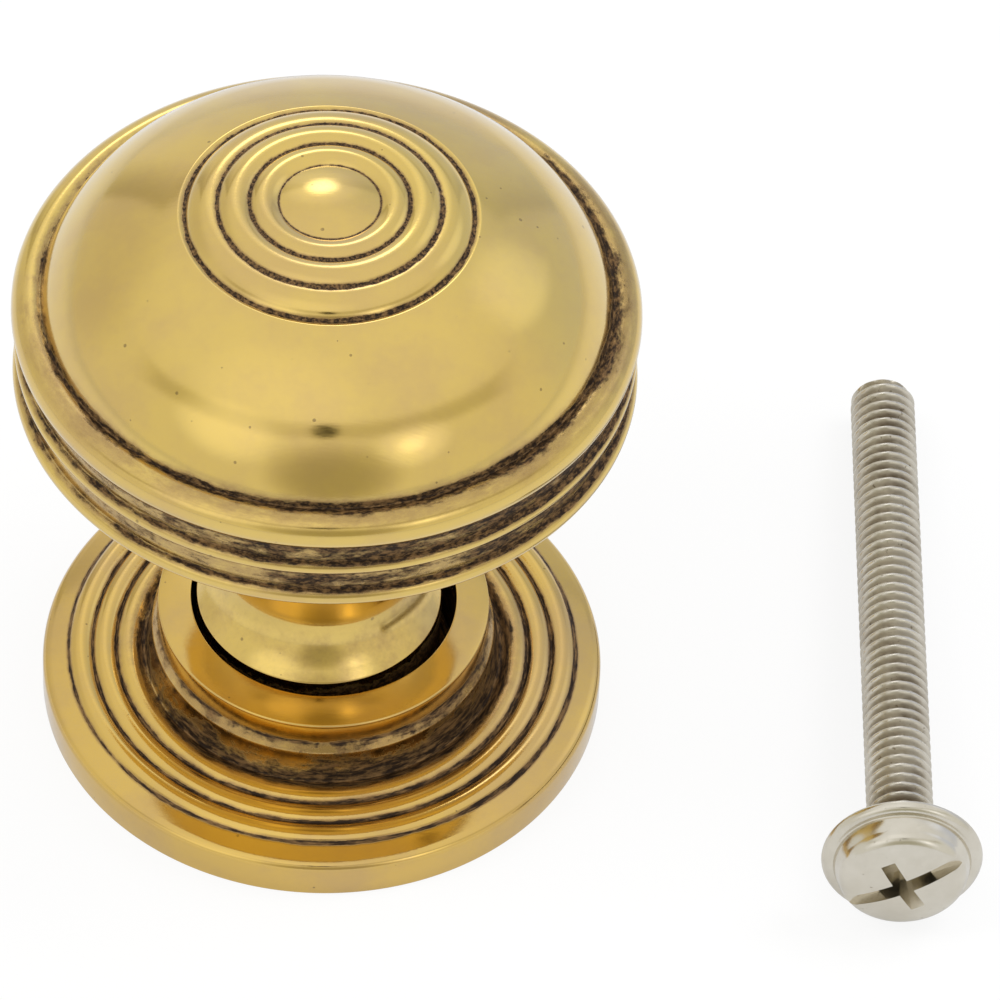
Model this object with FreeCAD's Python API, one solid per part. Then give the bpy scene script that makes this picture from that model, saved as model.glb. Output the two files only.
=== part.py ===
import FreeCAD, Part
import math
import os

# A turned brass cabinet knob standing loose in the recess of its own reeded rose,
# with its fixing screw lying beside it, taken out. All sizes are millimetres.
# The origin is the centre of the rose's screw hole at its back face, and +Z
# points out of the cabinet front. Outlines are (radius, height) pairs.
Vector = FreeCAD.Vector

# Screw thread, No. 8-32: one set of sizes for the shank and both of its holes
thread_radius = 4.166 / 2
tap_drill_radius = 3.454 / 2
hole_clearance = 0.37

# Rose
rose_radius = 17.6
rose_rim_height = 2.4
reed_count = 3
reed_outer_radius = 15.95
reed_pitch = 1.49
reed_base_height = 2.9
reed_rise_inward = 0.08
reed_swell = 0.36
cove_height = 2.15
cove_hollow = 0.22
collar_radius = 10.37
collar_step = 0.4
collar_step_height = 0.6
collar_edge_height = 7.5
collar_height = 8.0
recess_radius = 8.3
recess_floor = 2.5

# Knob: height above the cabinet front, and where it rests in the recess
projection = 43.73
knob_shift = Vector(-0.30, 0.20, 0)

# Foot, which drops into the rose's recess
foot_radius = 7.68
foot_edge_above_collar = 0.13
foot_edge_bevel = 0.15
foot_flare_radius = 4.7
tapped_depth = 18.0

# Neck and underside of the head
neck_radius = 5.78
underside_radius = 17.25
underside_lip_height = 0.5
underside_round = 7.0
underside_slope = 10.0

# Edge of the head: rim bead over two reeds, with a groove under each of the upper two
head_radius = 19.0
rim_bead_radius = 1.2
rim_bead_spread = 61.0
upper_groove_height = 1.2
upper_reed_height = 0.94
lower_groove_height = 1.5
lower_reed_height = 1.15

# Dome: a shoulder arc up from its groove behind the rim bead, then a straight slope
dome_drop = 8.45
dome_round = 9.7
dome_foot_slope = 70.6
dome_top_slope = 23.5
dome_inner_radius = 8.7

# Rings on the crown: radius of each groove and its drop below the crown
ring_grooves = ((6.68, 0.76), (4.78, 0.48), (3.05, 0.48))
ring_bead_roundness = 0.19

# Flats that stand for a round, so that the many rings stay light
bead_flat_count = 3
reed_flat_count = 2
cap_flat_count = 2
rim_bead_flat_count = 3
dome_flat_count = 7
neck_flat_count = 3
hollow_flat_count = 3
edge_flat_count = 2
pan_flat_count = 1

# Fixing screw: pan head on a thin washer flange, slot and cross recess
screw_length = 40.8
screw_tip_bevel = 0.45
flange_radius = 5.0
flange_thickness = 0.72
flange_edge_height = 0.25
flange_inner_radius = 4.25
pan_radius = 4.0
pan_height = 2.83
pan_side_height = 0.9
pan_crown = 0.42
pan_shoulder = 0.78
pan_shoulder_swell = 0.19
slot_width = 1.05
slot_depth = 0.85
slot_angle = -30.0
cross_width = 0.95
cross_half_length = 2.2
cross_depth = 2.0
cross_draft = 26.0

# Where the screw lies: the centre of its flange's edge, its tip towards +Y
screw_x = 36.0
screw_flange_y = -17.5


class Outline:
    """Half a turned section, drawn from point to point and then spun about Z."""

    def __init__(self, radius, height):
        self.at = (radius, height)
        self.edges = []

    def line(self, radius, height):
        start = Vector(self.at[0], 0, self.at[1])
        end = Vector(radius, 0, height)
        self.edges.append(Part.LineSegment(start, end).toShape())
        self.at = (radius, height)

    def arc(self, middle, end, flats=0):
        """Arc through a middle point, or that many flats with their corners on it."""
        points = [Vector(radius, 0, height) for radius, height in (self.at, middle, end)]
        edge = Part.Arc(*points).toShape()
        if flats:
            for corner in edge.discretize(Number=flats + 1)[1:]:
                self.line(corner.x, corner.z)
        else:
            self.edges.append(edge)
        self.at = end

    def swell(self, radius, height, rise, flats=0):
        """Arc whose middle stands off its chord, to the right of the way it is drawn."""
        along_r = radius - self.at[0]
        along_z = height - self.at[1]
        chord = math.hypot(along_r, along_z)
        middle_r = (self.at[0] + radius) / 2 + rise * along_z / chord
        middle_z = (self.at[1] + height) / 2 - rise * along_r / chord
        self.arc((middle_r, middle_z), (radius, height), flats)

    def cap(self, height, flats):
        """Shallow round from here to the axis."""
        radius, start = self.at
        rise = height - start
        ball = (radius ** 2 + rise ** 2) / (2 * rise)
        side = math.copysign(math.sqrt(ball ** 2 - (radius / 2) ** 2), rise)
        self.arc((radius / 2, height - ball + side), (0, height), flats)

    def spin(self):
        first = self.edges[0].valueAt(self.edges[0].FirstParameter)
        self.line(first.x, first.z)
        face = Part.Face(Part.Wire(self.edges))
        return face.revolve(Vector(0, 0, 0), Vector(0, 0, 1), 360)


def on_circle(centre, radius, degrees):
    """Point on a circle in the section, its angle taken from straight out."""
    angle = math.radians(degrees)
    return centre[0] + radius * math.cos(angle), centre[1] + radius * math.sin(angle)


def make_rose():
    hole_radius = thread_radius + hole_clearance
    outline = Outline(hole_radius, 0)
    draw_rose_rim(outline)
    draw_rose_reeds(outline)
    draw_collar(outline)
    outline.line(recess_radius, recess_floor)
    outline.line(hole_radius, recess_floor)
    return outline.spin()


def draw_rose_rim(outline):
    outline.line(rose_radius, 0)
    outline.line(rose_radius, rose_rim_height)
    outline.line(reed_outer_radius, reed_base_height)


def draw_rose_reeds(outline):
    for number in range(1, reed_count + 1):
        radius = reed_outer_radius - number * reed_pitch
        height = reed_base_height + number * reed_rise_inward
        outline.swell(radius, height, reed_swell, reed_flat_count)


def draw_collar(outline):
    step_radius = collar_radius + collar_step
    cove_top = outline.at[1] + cove_height
    outline.swell(step_radius, cove_top, -cove_hollow, hollow_flat_count)
    outline.line(collar_radius, cove_top + collar_step_height)
    outline.line(collar_radius, collar_edge_height)
    outline.line(recess_radius, collar_height)


def make_knob():
    outline = Outline(0, recess_floor + tapped_depth)
    outline.line(tap_drill_radius, recess_floor + tapped_depth)
    outline.line(tap_drill_radius, recess_floor)
    draw_foot(outline)
    draw_neck(outline)
    draw_head_edge(outline)
    draw_dome(outline)
    draw_crown_rings(outline)
    knob = outline.spin()
    knob.translate(knob_shift)
    return knob


def draw_foot(outline):
    """Round boss with a small bevel, and a hollow flare that narrows up to the neck."""
    flare_foot_radius = foot_radius - foot_edge_bevel
    edge_height = collar_height + foot_edge_above_collar
    outline.line(foot_radius, recess_floor)
    outline.line(foot_radius, edge_height)
    outline.line(flare_foot_radius, edge_height + foot_edge_bevel)
    turn = math.acos(1 - (flare_foot_radius - neck_radius) / foot_flare_radius)
    centre = (neck_radius + foot_flare_radius, outline.at[1] + foot_flare_radius * math.sin(turn))
    half_way = on_circle(centre, foot_flare_radius, 180 + math.degrees(turn) / 2)
    outline.arc(half_way, on_circle(centre, foot_flare_radius, 180), hollow_flat_count)


def draw_neck(outline):
    """Long hollow arc out from the neck, running into a tighter one under the head."""
    underside_height = lower_reed_bottom() - underside_lip_height
    run = underside_radius - outline.at[0]
    climb = underside_height - outline.at[1]
    last_turn = math.radians(90 - underside_slope)
    run_left = run - underside_round * (1 - math.cos(last_turn))
    climb_left = climb - underside_round * math.sin(last_turn)
    turn = 2 * math.atan2(run_left, climb_left)
    long_round = climb_left / math.sin(turn) + underside_round
    start = outline.at
    long_centre = (start[0] + long_round, start[1])
    turn_degrees = math.degrees(turn)
    joint = on_circle(long_centre, long_round, 180 - turn_degrees)
    outline.arc(on_circle(long_centre, long_round, 180 - turn_degrees / 2), joint, neck_flat_count)
    tight_centre = (underside_radius + underside_round * math.cos(last_turn),
                    underside_height - underside_round * math.sin(last_turn))
    half_way = (turn_degrees + math.degrees(last_turn)) / 2
    end = (underside_radius, underside_height)
    outline.arc(on_circle(tight_centre, underside_round, 180 - half_way), end, edge_flat_count)


def rim_bead_centre():
    """Radius and height of the middle of the large bead round the head."""
    angle = math.radians(rim_bead_spread)
    dome_foot = projection - dome_drop
    return head_radius - rim_bead_radius, dome_foot - rim_bead_radius * math.sin(angle)


def lower_reed_bottom():
    angle = math.radians(rim_bead_spread)
    bead_bottom = rim_bead_centre()[1] - rim_bead_radius * math.sin(angle)
    reeds = upper_reed_height + lower_reed_height
    return bead_bottom - upper_groove_height - lower_groove_height - reeds


def draw_head_edge(outline):
    groove_radius = on_circle(rim_bead_centre(), rim_bead_radius, rim_bead_spread)[0]
    height = lower_reed_bottom()
    outline.line(groove_radius, height)
    for reed, groove in ((lower_reed_height, lower_groove_height), (upper_reed_height, upper_groove_height)):
        height += reed
        outline.swell(groove_radius, height, reed / 2, reed_flat_count)
        height += groove
        outline.line(groove_radius, height)
    draw_rim_bead(outline)


def draw_rim_bead(outline):
    centre = rim_bead_centre()
    middle = on_circle(centre, rim_bead_radius, 90 - rim_bead_spread)
    end = on_circle(centre, rim_bead_radius, 180 - rim_bead_spread)
    outline.arc(middle, end, rim_bead_flat_count)


def draw_dome(outline):
    centre = on_circle(outline.at, dome_round, 270 - dome_foot_slope)
    shoulder = on_circle(centre, dome_round, 90 - dome_top_slope)
    half_way = 90 - (dome_foot_slope + dome_top_slope) / 2
    climb = (shoulder[0] - dome_inner_radius) * math.tan(math.radians(dome_top_slope))
    outline.arc(on_circle(centre, dome_round, half_way), shoulder, dome_flat_count)
    outline.line(dome_inner_radius, shoulder[1] + climb)


def draw_crown_rings(outline):
    for radius, drop in ring_grooves:
        width = outline.at[0] - radius
        outline.swell(radius, projection - drop, ring_bead_roundness * width, bead_flat_count)
    outline.cap(projection, cap_flat_count)


def make_fixing_screw():
    screw = make_screw_blank().cut(make_driver_recess())
    lie = math.atan2(flange_radius - thread_radius, screw_length - screw_tip_bevel + flange_edge_height)
    screw.translate(Vector(0, 0, flange_edge_height))
    screw.rotate(Vector(0, 0, 0), Vector(1, 0, 0), -90 - math.degrees(lie))
    screw.translate(Vector(screw_x, screw_flange_y, flange_radius * math.cos(lie)))
    return screw


def make_screw_blank():
    """Head and shank on the Z axis, with the tip upwards and the head's seat at zero."""
    shoulder_r = pan_radius - pan_shoulder
    crown_z = -pan_height
    shoulder_z = crown_z + pan_crown
    outline = Outline(0, screw_length)
    outline.line(thread_radius - screw_tip_bevel, screw_length)
    outline.line(thread_radius, screw_length - screw_tip_bevel)
    outline.line(thread_radius, 0)
    outline.line(flange_radius - flange_edge_height, 0)
    outline.line(flange_radius, -flange_edge_height)
    outline.line(flange_inner_radius, -flange_thickness)
    outline.line(pan_radius, -flange_thickness - pan_side_height)
    outline.swell(shoulder_r, shoulder_z, -pan_shoulder_swell, pan_flat_count)
    outline.cap(crown_z, pan_flat_count)
    return outline.spin()


def make_driver_recess():
    """Straight slot across the whole head, with a tapering cross at its middle."""
    slot = Part.makeBox(2 * flange_radius, slot_width, slot_depth)
    slot.translate(Vector(-flange_radius, -slot_width / 2, -pan_height))
    recess = slot.fuse([make_cross_wing(0), make_cross_wing(90)])
    recess.rotate(Vector(0, 0, 0), Vector(0, 0, 1), slot_angle)
    return recess


def make_cross_wing(turn):
    top = -pan_height
    bottom = top + cross_depth
    inner = cross_half_length - cross_depth * math.tan(math.radians(cross_draft))
    corners = ((-cross_half_length, top), (cross_half_length, top), (inner, bottom), (-inner, bottom))
    points = [Vector(x, -cross_width / 2, z) for x, z in corners]
    face = Part.Face(Part.makePolygon(points + points[:1]))
    wing = face.extrude(Vector(0, cross_width, 0))
    wing.rotate(Vector(0, 0, 0), Vector(0, 0, 1), turn)
    return wing


def main():
    os.makedirs("parts", exist_ok=True)
    make_rose().exportStep("parts/rose.step")
    make_knob().exportStep("parts/knob.step")
    make_fixing_screw().exportStep("parts/fixing_screw.step")


main()
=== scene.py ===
# %% [markdown]
# A turned brass cabinet knob on its reeded rose, with its fixing screw lying beside it.
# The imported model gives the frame: its three nodes say where each piece stands. Each piece
# is made again here as a fine turned surface, because polished brass shows every facet.

# %% Load the frame
import bpy
import math
import numpy as np
from mathutils import Matrix


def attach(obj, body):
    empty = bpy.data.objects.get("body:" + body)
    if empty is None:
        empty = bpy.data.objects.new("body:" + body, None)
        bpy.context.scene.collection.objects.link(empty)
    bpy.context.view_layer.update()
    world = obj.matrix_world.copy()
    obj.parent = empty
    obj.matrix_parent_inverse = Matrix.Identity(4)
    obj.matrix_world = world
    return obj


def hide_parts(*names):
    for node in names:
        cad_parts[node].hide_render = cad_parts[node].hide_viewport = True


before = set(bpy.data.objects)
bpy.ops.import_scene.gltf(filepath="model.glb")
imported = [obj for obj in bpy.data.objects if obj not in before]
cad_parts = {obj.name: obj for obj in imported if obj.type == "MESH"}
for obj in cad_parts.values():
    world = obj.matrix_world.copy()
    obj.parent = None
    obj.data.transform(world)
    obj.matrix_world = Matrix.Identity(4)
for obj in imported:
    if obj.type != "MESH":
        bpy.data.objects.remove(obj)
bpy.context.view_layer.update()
MM = 0.001
print("nodes:", sorted(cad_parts))

# %% [markdown]
# The camera looks down on the knob from the front at about 48 degrees through a long lens.
# Its place was worked out from the ellipses of the knob's own rings, so the rings drawn here
# fall where the photographed ones do. It comes first, because the rest is judged through it.


# %% Camera
def turned_axes(pan, tilt, roll):
    """Right, up and forward of a camera that faces +Y, then pans right, tilts down and rolls."""
    forward = np.array([math.sin(pan) * math.cos(tilt), math.cos(pan) * math.cos(tilt), -math.sin(tilt)])
    level = np.array([math.cos(pan), -math.sin(pan), 0])
    above = np.cross(level, forward)
    right = math.cos(roll) * level + math.sin(roll) * above
    up = math.cos(roll) * above - math.sin(roll) * level
    return right, up, forward


def stand(thing, place, right, up, forward):
    """Stands a camera or a lamp at place, in millimetres: its X is right, Y up and -Z forward."""
    matrix = np.eye(4)
    matrix[:3, :3] = np.column_stack([right, up, -forward])
    matrix[:3, 3] = np.array(place) * MM
    thing.matrix_world = Matrix(matrix.tolist())


def add_camera(place, pan, tilt, roll, lens):
    """A camera behind a lens of so many millimetres on a 36 mm wide sensor, with its turns in degrees."""
    camera = bpy.data.objects.new("camera", bpy.data.cameras.new("camera"))
    bpy.context.scene.collection.objects.link(camera)
    camera.data.sensor_width = 36
    camera.data.lens = lens
    stand(camera, place, *turned_axes(math.radians(pan), math.radians(tilt), math.radians(roll)))
    bpy.context.scene.camera = camera
    return camera


camera = add_camera(place=(0, -327.78, 386.61), pan=1.870, tilt=48.391, roll=3.042, lens=288)
print("camera", [round(value, 3) for value in camera.matrix_world.translation])

# %% [markdown]
# A turned piece is one half section spun about its axis. The section could be a curve with a
# Screw modifier, but here it is an array of points, so that the same points also tell where
# the hollows are, and the hollows are where an antiqued finish keeps its dark patina.


# %% Drawing a section
def arc_to(points, end, bulge, count=14):
    """Adds a circular arc from the last point to end.

    Its middle stands off the chord by bulge, to the right of the way. With half angle a, a point
    at t from -a to a lies sin t / sin a along the half chord and (cos t - cos a) / (1 - cos a)
    of the bulge off it.
    """
    start, end = np.array(points[-1], float), np.array(end, float)
    chord = end - start
    length = np.hypot(*chord)
    right = np.array([chord[1], -chord[0]]) / length
    half = 2 * math.atan2(2 * bulge, length)
    t = np.linspace(-half, half, count + 1)[1:, None]
    along = np.sin(t) / math.sin(half) * chord / 2
    off = (np.cos(t) - math.cos(half)) / (1 - math.cos(half)) * bulge * right
    points.extend(((start + end) / 2 + along + off).tolist())


def on_circle(centre, radius, degrees):
    """The point at an angle on a circle: centre plus radius times its cosine and sine."""
    angle = math.radians(degrees)
    return centre[0] + radius * math.cos(angle), centre[1] + radius * math.sin(angle)


def circle_to(points, centre, radius, first, last, count=16):
    """Adds points on a circle from one angle to another, in degrees from straight out."""
    angle = np.radians(np.linspace(first, last, count + 1))
    points.extend((np.array(centre) + radius * np.column_stack([np.cos(angle), np.sin(angle)])).tolist())


sample = [(0, 0)]
arc_to(sample, (2, 0), 0.3)
print("an arc over 2 mm:", len(sample), "points, its middle", np.round(sample[7], 3))

# %% [markdown]
# A polished edge is never sharp: the mop rounds it by about a tenth of a millimetre. Rather
# than fillet each corner, the whole section is resampled finely and passed through a narrow
# bell-shaped average, which rounds every corner alike. Then it keeps only as many points as
# its curvature needs.


# %% Softening a section
def resample(points, step):
    """The same path with a point every step millimetres, without its repeated points."""
    points = np.array(points, float)
    keep = np.append(True, np.hypot(*np.diff(points, axis=0).T) > 1e-9)
    points = points[keep]
    length = np.append(0, np.cumsum(np.hypot(*np.diff(points, axis=0).T)))
    even = np.linspace(0, length[-1], int(length[-1] / step) + 2)
    return np.column_stack([np.interp(even, length, points[:, 0]), np.interp(even, length, points[:, 1])])


def bell_average(values, width):
    """Running average under a bell curve, width samples to one standard deviation."""
    reach = int(3 * width) + 1
    bell = np.exp(-0.5 * (np.arange(-reach, reach + 1) / width) ** 2)
    before = 2 * values[0] - values[reach:0:-1]
    after = 2 * values[-1] - values[-2:-reach - 2:-1]
    return np.convolve(np.concatenate([before, values, after]), bell / bell.sum(), "valid")


def soften(points, rounding=0.07, step=0.02):
    """The section with its corners rounded: its bell average over rounding millimetres, ends held."""
    fine = resample(points, step)
    soft = np.column_stack([bell_average(fine[:, k], rounding / step) for k in (0, 1)])
    soft[[0, -1]] = fine[[0, -1]]
    return soft


corner = soften([(0, 0), (1, 0), (1, 1)])
print("a square corner is cut back by", round(np.hypot(*(corner - (1, 0)).T).min(), 3), "mm")


# %% Measuring and thinning a section
def turning(points):
    """Signed turn of the section per millimetre: positive on a bead, negative in a hollow."""
    way = np.gradient(points, axis=0)
    angle = np.unwrap(np.arctan2(way[:, 1], way[:, 0]))
    return np.gradient(angle) / np.hypot(*way.T)


def darkening(points, hollows):
    """How dark each point is made, 0 to 1, by stains in hollows and painted shade in corners and recesses.

    Each hollow is its radius, height, depth of stain and width. It stains a point at distance d
    from its middle by depth * exp(-(d / width) squared), and a point is as bare as all the
    hollows together leave it.
    """
    radius, height, depth, width = np.array(hollows, float).T
    away = np.hypot(points[:, :1] - radius, points[:, 1:] - height)
    return 1 - np.prod(1 - depth * np.exp(-(away / width) ** 2), axis=1)


def thin_out(points, values, count, longest=2.2, widest=0.16, steepest=0.07):
    """Keeps count points, closer together where the section turns or the values change.

    A step costs its length / longest, its turn / widest and its change of value / steepest, and
    the kept points lie at equal costs along the section.
    """
    steps = np.hypot(*np.diff(points, axis=0).T)
    turn = np.abs(turning(points))[1:] * steps / widest
    change = np.abs(np.diff(values)) / steepest
    travel = np.append(0, np.cumsum(steps / longest + turn + change))
    grid = np.arange(len(points))
    pick = np.interp(np.linspace(0, travel[-1], count), travel, grid)
    kept = np.column_stack([np.interp(pick, grid, points[:, k]) for k in (0, 1)])
    return kept, np.interp(pick, grid, values)


kept, _ = thin_out(corner, np.zeros(len(corner)), 12)
print("that corner keeps", len(kept), "of", len(corner), "points")

# %% [markdown]
# Spinning the section makes a grid of points: every section point at every angle. Where the
# section meets the axis, one pole point closes the skin with a fan of triangles. The depth in
# a hollow goes with each point as an attribute, which the brass reads later.

# %% Spinning a section
ON_AXIS = 1e-6


def spin(outline, segments):
    """Vertices and faces of a section spun round Z: x = r cos a, y = r sin a, z = height."""
    angle = np.linspace(0, 2 * np.pi, segments, endpoint=False)
    on_axis = outline[:, 0] < ON_AXIS
    ring = outline[~on_axis]
    grid = np.empty((len(ring), segments, 3))
    grid[..., 0] = ring[:, :1] * np.cos(angle)
    grid[..., 1] = ring[:, :1] * np.sin(angle)
    grid[..., 2] = ring[:, 1:]
    vertices = grid.reshape(-1, 3)
    closed = not on_axis.any()
    row = np.arange(len(ring) if closed else len(ring) - 1)[:, None] * segments
    above = (row + segments) % len(vertices)
    column = np.arange(segments)[None, :]
    beside = (column + 1) % segments
    corners = [row + column, row + beside, above + beside, above + column]
    faces = np.stack(corners, axis=-1).reshape(-1, 4).tolist()
    if not closed:
        first, last = len(vertices), len(vertices) + 1
        vertices = np.vstack([vertices, [0, 0, outline[0, 1]], [0, 0, outline[-1, 1]]])
        top = (len(ring) - 1) * segments
        faces += np.column_stack([np.full(segments, first), beside[0], column[0]]).tolist()
        faces += np.column_stack([np.full(segments, last), top + column[0], top + beside[0]]).tolist()
    return vertices, faces


def add_mesh(name, vertices, faces, material):
    """A smooth-shaded piece from points in millimetres, with its object at the origin."""
    mesh = bpy.data.meshes.new(name)
    mesh.from_pydata((np.asarray(vertices) * MM).tolist(), [], faces)
    mesh.polygons.foreach_set("use_smooth", np.ones(len(mesh.polygons), bool))
    mesh.materials.append(material)
    mesh.validate()
    mesh.update()
    piece = bpy.data.objects.new(name, mesh)
    bpy.context.scene.collection.objects.link(piece)
    return piece


def add_values(piece, name, values):
    """Gives each point of a piece a number that its material can read by name."""
    attribute = piece.data.attributes.new(name, "FLOAT", "POINT")
    attribute.data.foreach_set("value", values.astype(np.float32))


def add_turned(name, outline, hollows, point_count, segments, place, material):
    """A turned piece from its section, with the hollow attribute on every point."""
    soft = soften(outline)
    kept, depth = thin_out(soft, darkening(soft, hollows), point_count)
    vertices, faces = spin(kept, segments)
    piece = add_mesh(name, vertices + np.array([*place, 0]), faces, material)
    on_axis = kept[:, 0] < ON_AXIS
    values = np.repeat(depth[~on_axis], segments)
    if on_axis.any():
        values = np.append(values, [depth[0], depth[-1]])
    add_values(piece, "hollow", values)
    print(name, len(faces), "faces")
    return piece


cone_points, cone_faces = spin(np.array([[0, 0], [1, 0], [0, 1.0]]), 8)
print("a cone of 8 sides:", len(cone_points), "points and", len(cone_faces), "faces")

# %% [markdown]
# Colours are written as the hex values that a paint chart would give, and one function turns
# them into the linear light that the renderer works in. Another adds a node, sets it up and
# links it, which keeps each material below readable as a recipe. Patterns are given the real
# size of their marks in millimetres.

# %% Colour and node helpers
SMOOTH = {"interpolation_type": "SMOOTHSTEP"}
MIX_COLOURS = {"data_type": "RGBA"}
MIX_NUMBERS = {"data_type": "FLOAT"}


def linear(hex_colour):
    """sRGB hex to linear: a twelfth of the dark values, and a 2.4 power of the rest."""
    channels = [int(hex_colour[k:k + 2], 16) / 255 for k in (1, 3, 5)]
    return [c / 12.92 if c <= 0.04045 else ((c + 0.055) / 1.055) ** 2.4 for c in channels] + [1.0]


def per_metre(size):
    """A pattern's scale: how many of its marks, each size millimetres wide, fit in a metre."""
    return 1 / (size * MM)


def add(tree, kind, settings=None, **links):
    """Adds a node. Settings go to its properties, links to its sockets, by name or as s0, s1."""
    node = tree.nodes.new(kind)
    for key, value in (settings or {}).items():
        setattr(node, key, value)
    for key, value in links.items():
        numbered = key[0] == "s" and key[1:].isdigit()
        socket = node.inputs[int(key[1:]) if numbered else key.replace("_", " ")]
        if isinstance(value, bpy.types.NodeSocket):
            tree.links.new(value, socket)
        else:
            socket.default_value = value
    return node


def combine(tree, operation, first, *rest):
    """Adds or multiplies values, or whatever the operation says, one after another."""
    for other in rest:
        first = add(tree, "ShaderNodeMath", {"operation": operation}, s0=first, s1=other).outputs[0]
    return first


def new_material(name):
    """An empty material and its node tree."""
    material = bpy.data.materials.new(name)
    material.use_nodes = True
    material.node_tree.nodes.clear()
    return material, material.node_tree


print("middle grey in linear light:", round(linear("#808080")[0], 3))

# %% [markdown]
# The knob and the rose are one finish: cast and turned brass, polished bright, darkened
# chemically, wiped back and waxed. The wiping leaves a brown-black patina in every hollow,
# with ragged edges, a few specks on the open faces, and a warm golden polish everywhere else.
# The ragged edges follow the lathe's and the mop's turning marks, which run round the axis. A
# picture could be wrapped round the piece, but noise stretched round the axis has no seam.

# %% Turning marks
CLOUD_SIZE = 9.09
BLOTCH_WIDTH = 1.43
RAGGED_WIDTH = 0.3448
GRAIN_WIDTH = 0.2174


def turned_noise(tree, place, along, width):
    """Noise drawn out round the axis, as a lathe tool and a buffing mop leave their marks.

    With across = 1 / width, a point at radius r, angle a and height z reads it at
    (along cos a, along sin a, across z), and across r is the fourth coordinate, so every mark is
    long round the axis and thin across.
    """
    across = per_metre(width)
    flat = add(tree, "ShaderNodeVectorMath", {"operation": "MULTIPLY"}, s0=place, s1=(1, 1, 0)).outputs[0]
    radius = add(tree, "ShaderNodeVectorMath", {"operation": "LENGTH"}, s0=flat).outputs["Value"]
    around = add(tree, "ShaderNodeVectorMath", {"operation": "NORMALIZE"}, s0=flat).outputs[0]
    ring = add(tree, "ShaderNodeVectorMath", {"operation": "SCALE"}, s0=around, Scale=along).outputs[0]
    rise = add(
        tree, "ShaderNodeVectorMath", {"operation": "MULTIPLY"}, s0=place, s1=(0, 0, across)).outputs[0]
    where = add(tree, "ShaderNodeVectorMath", {"operation": "ADD"}, s0=ring, s1=rise).outputs[0]
    out = combine(tree, "MULTIPLY", radius, across)
    noise = add(tree, "ShaderNodeTexNoise", {"noise_dimensions": "4D"}, Vector=where, W=out, Scale=1,
                Detail=5, Roughness=0.72)
    return noise.outputs["Fac"]


print("marks across the turning:", BLOTCH_WIDTH, RAGGED_WIDTH, GRAIN_WIDTH, "mm")

# %% [markdown]
# Where the patina and the painted shade stay is one number at each point: how deep the point
# lies in a hollow, made uneven by clouds, blotches and ragged streaks. Open metal isn't made
# uneven, or it would look dirty. The number also leans across each piece, higher to one side.

# %% Where the patina and painted shade stay
CLOUD_SHARE = 0.8
BLOTCH_SHARE = 1.2
BLOTCHES_ALONG = 6
UNEVEN_FROM = 0.02
UNEVEN_FULL = 0.4


def patina_and_shade_level(tree, place, cloud, ragged, ragged_share, leaning):
    """Hollow + gate * (lean + the sum of share * (noise - 0.5)), where gate rises from 0 to 1."""
    hollow = add(tree, "ShaderNodeAttribute", {"attribute_name": "hollow"}).outputs["Fac"]
    blotch = turned_noise(tree, place, BLOTCHES_ALONG, BLOTCH_WIDTH)
    parts = []
    for noise, share in ((ragged, ragged_share), (cloud, CLOUD_SHARE), (blotch, BLOTCH_SHARE)):
        centred = add(
            tree, "ShaderNodeMath", {"operation": "MULTIPLY_ADD"}, s0=noise, s1=share, s2=-0.5 * share)
        parts.append(centred.outputs[0])
    # The lean darkens the hollows towards one side of each piece.
    lean = add(
        tree, "ShaderNodeVectorMath", {"operation": "DOT_PRODUCT"}, s0=place, s1=leaning).outputs["Value"]
    gate = add(tree, "ShaderNodeMapRange", Value=hollow, s1=UNEVEN_FROM, s2=UNEVEN_FULL).outputs[0]
    uneven = combine(tree, "ADD", *parts, lean)
    return combine(tree, "ADD", combine(tree, "MULTIPLY", uneven, gate), hollow)


print("clouds", CLOUD_SIZE, "mm across, gated below a hollow of", UNEVEN_FULL)

# %% Colours of the brass
SPECK_SPACING = 1.176
SPECK_SHARE = 0.5
FILM_BROWN = "#96734A"
PATINA_AND_SHADE_DARK = "#2E2014"
PATINA_AND_SHADE_PALE = "#8C6C44"


def brass_colour(tree, place, cloud, grain, patina_and_shade, film, polish, haze):
    """Polish turning to haze in the clouds, under a brown film, under specks, dark oxide and painted shade.

    A speck is where the distance to a scattered point is under a small radius, which is above 0
    for only some of those points. The oxide and the painted shade go dark to light brown by the grain.
    """
    dull = add(tree, "ShaderNodeMapRange", SMOOTH, Value=cloud, s1=0.38, s2=0.68).outputs[0]
    gold = add(tree, "ShaderNodeMix", MIX_COLOURS, s0=dull, s6=linear(polish), s7=linear(haze)).outputs[2]
    filmed = add(tree, "ShaderNodeMix", MIX_COLOURS, s0=film, s6=gold, s7=linear(FILM_BROWN)).outputs[2]
    worn = add(tree, "ShaderNodeMapRange", SMOOTH, Value=grain, s1=0.42, s2=0.64).outputs[0]
    # The same dark browns paint the shade in groove corners, on the foot and in the rose's recess.
    dark = add(tree, "ShaderNodeMix", MIX_COLOURS, s0=worn, s6=linear(PATINA_AND_SHADE_DARK), s7=linear(PATINA_AND_SHADE_PALE))
    dots = add(tree, "ShaderNodeTexVoronoi", Vector=place, Scale=per_metre(SPECK_SPACING), Randomness=1.0)
    size = add(tree, "ShaderNodeMapRange", Value=dots.outputs["Color"], s1=0.45, s2=0.85, s3=0.0, s4=0.1)
    speck = add(
        tree, "ShaderNodeMath", {"operation": "LESS_THAN"}, s0=dots.outputs["Distance"], s1=size.outputs[0])
    specks_patina_and_shade = combine(tree, "MAXIMUM", patina_and_shade, combine(tree, "MULTIPLY", speck.outputs[0], SPECK_SHARE))
    return add(tree, "ShaderNodeMix", MIX_COLOURS, s0=specks_patina_and_shade, s6=filmed, s7=dark.outputs[2]).outputs[2]


print("specks", SPECK_SPACING, "mm apart, patina", PATINA_AND_SHADE_DARK, "to", PATINA_AND_SHADE_PALE)

# %% [markdown]
# The polish is a mirror, so what the eye reads as brass is mostly its relief: slow waves that
# the mop leaves, hair scratches from wiping, and the thin crust of the patina.

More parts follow.
